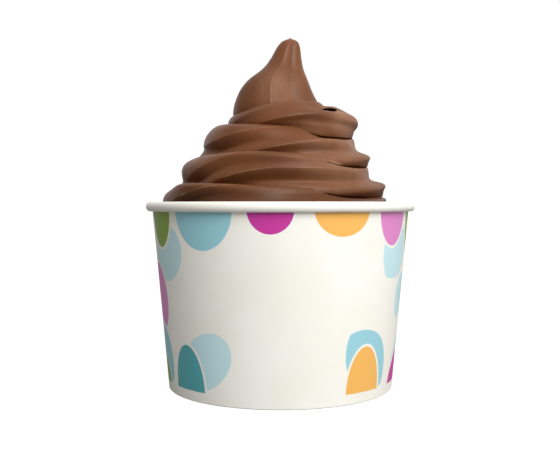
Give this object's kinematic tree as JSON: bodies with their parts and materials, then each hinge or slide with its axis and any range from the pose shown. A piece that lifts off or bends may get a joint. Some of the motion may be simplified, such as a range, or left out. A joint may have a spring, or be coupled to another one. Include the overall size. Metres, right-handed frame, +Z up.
{
  "type": "cup of frozen yogurt",
  "caption": "Chocolate frozen yogurt laid in a ridged swirl with a drawn-up peak, in a round paper tub with a rolled rim and a recessed base.",
  "frame": {"origin": "on the cup's axis, on the surface the cup stands on", "axes": "+Z up through the rim, -Y towards the front"},
  "size_m": [0.096, 0.096, 0.1247],
  "materials": {
    "printed_board": "satin coated board",
    "plain_board": "uncoated board",
    "chocolate_yogurt": "soft satin"
  },
  "bodies": {
    "root": {"cup_wall": "printed_board", "cup_base": "plain_board", "frozen_yogurt": "chocolate_yogurt"}
  },
  "joints": []
}
